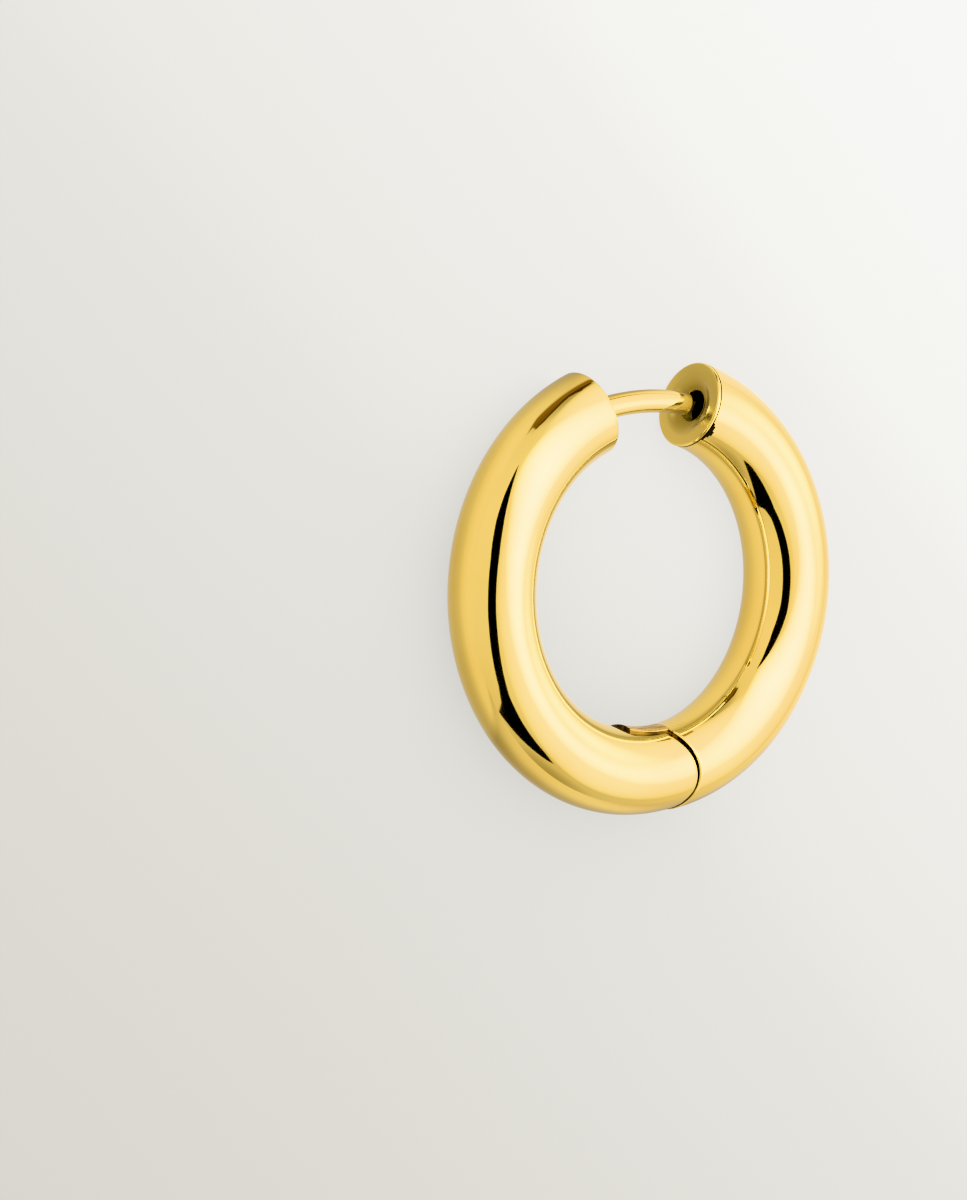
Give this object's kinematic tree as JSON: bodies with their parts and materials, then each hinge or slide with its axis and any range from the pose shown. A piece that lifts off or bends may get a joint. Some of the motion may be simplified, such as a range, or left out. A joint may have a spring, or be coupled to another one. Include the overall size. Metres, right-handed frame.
{
  "type": "hoop earring",
  "caption": "Chunky round-tube hoop earring in polished gold plate, hinged near its foot, with a curved ear post that enters a dished socket.",
  "frame": {"origin": "middle of the footprint, on the surface that the hoop lies on", "axes": "+Z through the ring, +Y towards the ear post and its socket, +X towards the back half"},
  "size_m": [0.0206, 0.0196, 0.0038],
  "materials": {
    "gold_plate": "yellow gold plate, mirror polished",
    "post_wire": "yellow gold plated wire, polished",
    "pin_steel": "drawn steel wire"
  },
  "bodies": {
    "front": {"front_hoop": "gold_plate", "ear_post": "post_wire", "hinge_pin": "pin_steel"},
    "back": {"back_hoop": "gold_plate"}
  },
  "joints": [
    {"name": "hinge", "type": "hinge", "parent": "front", "child": "back", "pos_m": [0.0004, -0.00865, 0.0019], "axis": [0, 0, -1], "range_deg": [-3.5, 50]}
  ]
}
